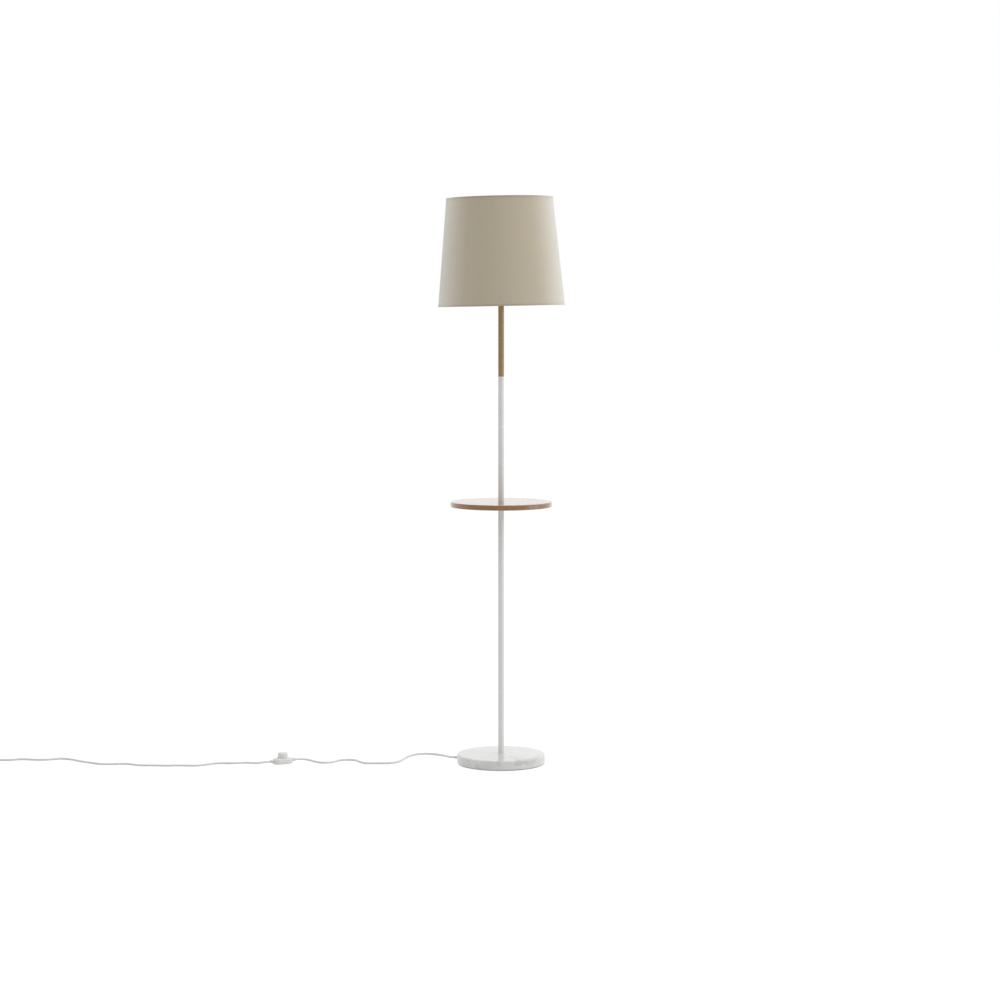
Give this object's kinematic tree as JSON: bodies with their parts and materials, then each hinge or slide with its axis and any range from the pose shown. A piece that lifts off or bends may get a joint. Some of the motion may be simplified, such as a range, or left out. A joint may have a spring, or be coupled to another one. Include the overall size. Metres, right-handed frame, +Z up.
{
  "type": "floor lamp with table",
  "caption": "Floor lamp with a marble base, a round wooden table on a white and wood pole, a tapered linen shade, a foot switch and a plug.",
  "frame": {"origin": "on the floor under the middle of the pole", "axes": "+Z up the pole, front towards -Y, +X to the right as seen from the front"},
  "size_m": [1.6681, 0.3424, 1.5381],
  "materials": {
    "marble": "polished",
    "foam": "matte foam",
    "zinc": "zinc plated",
    "white_paint": "satin",
    "oak": "satin lacquer",
    "linen": "plain weave",
    "liner": "matte",
    "flex_white": "smooth matte",
    "white_plastic": "semi gloss",
    "ceramic": "glazed",
    "brass": "plain",
    "core_brown": "smooth",
    "opal_glass": "opal",
    "nickel": "nickel plated",
    "black_glass": "gloss",
    "solder": "dull",
    "spring_steel": "drawn wire"
  },
  "bodies": {
    "lamp": {"base_marble": "marble", "base_nipple": "zinc", "base_nut": "zinc", "base_pad": "foam", "base_washer": "zinc", "coil_tie": "flex_white", "cord_coil": "flex_white", "cord_gland": "flex_white", "cord_riser": "flex_white", "cord_tail": "flex_white", "cord_to_coil": "flex_white", "cord_to_switch": "flex_white", "ferrule": "white_paint", "holder_body": "white_plastic", "holder_cap": "white_plastic", "holder_cores": "core_brown", "holder_insert": "ceramic", "holder_nipple": "zinc", "holder_screw_shell": "brass", "holder_terminals": "brass", "holder_tongue": "brass", "lower_tube": "white_paint", "lower_tube_foot_plug": "zinc", "lower_tube_top_plug": "zinc", "middle_tube": "white_paint", "middle_tube_foot_plug": "zinc", "middle_tube_top_plug": "zinc", "plug_body": "white_plastic", "plug_boot": "flex_white", "plug_pins": "nickel", "pole_nipple": "zinc", "switch_base": "white_plastic", "switch_contacts": "brass", "switch_cores": "core_brown", "switch_cover": "white_plastic", "switch_reliefs": "flex_white", "switch_screws": "zinc", "switch_spring": "spring_steel", "table_flange": "white_paint", "table_nipple": "zinc", "table_screws": "zinc", "table_top": "oak", "terminal_screws": "zinc", "wood_pole": "oak"},
    "shade": {"shade_fabric": "linen", "shade_liner": "liner", "shade_top_hem": "linen", "shade_bottom_hem": "linen", "shade_top_ring": "white_paint", "shade_bottom_ring": "white_paint", "shade_spokes": "white_paint", "shade_fitter": "white_paint"},
    "bulb": {"bulb_glass": "opal_glass", "bulb_cap": "nickel", "bulb_insulator": "black_glass", "bulb_contact": "solder"},
    "ring_nut": {"shade_ring_nut": "white_plastic"},
    "pedal": {"switch_pedal": "white_plastic", "switch_bridge": "brass"}
  },
  "joints": [
    {"name": "switch_press", "type": "slide", "parent": "lamp", "child": "pedal", "axis": [0, 0, -1], "range_m": [0, 0.003], "stiffness_N_per_m": 1500, "springref_m": -0.001, "deforming": ["switch_spring"]},
    {"name": "shade_turn", "type": "hinge", "parent": "lamp", "child": "shade", "pos_m": [0, 0, 1.31011], "axis": [-0.0192, 0, 0.9998], "range_deg": [-180, 180]},
    {"name": "ring_nut_turn", "type": "hinge", "parent": "lamp", "child": "ring_nut", "pos_m": [0, 0, 1.31], "axis": [0, 0, 1], "range_deg": [0, 1080]},
    {"name": "bulb_unscrew", "type": "hinge", "parent": "lamp", "child": "bulb", "pos_m": [0, 0, 1.33], "axis": [0, 0, 1], "range_deg": [0, 1260]}
  ]
}
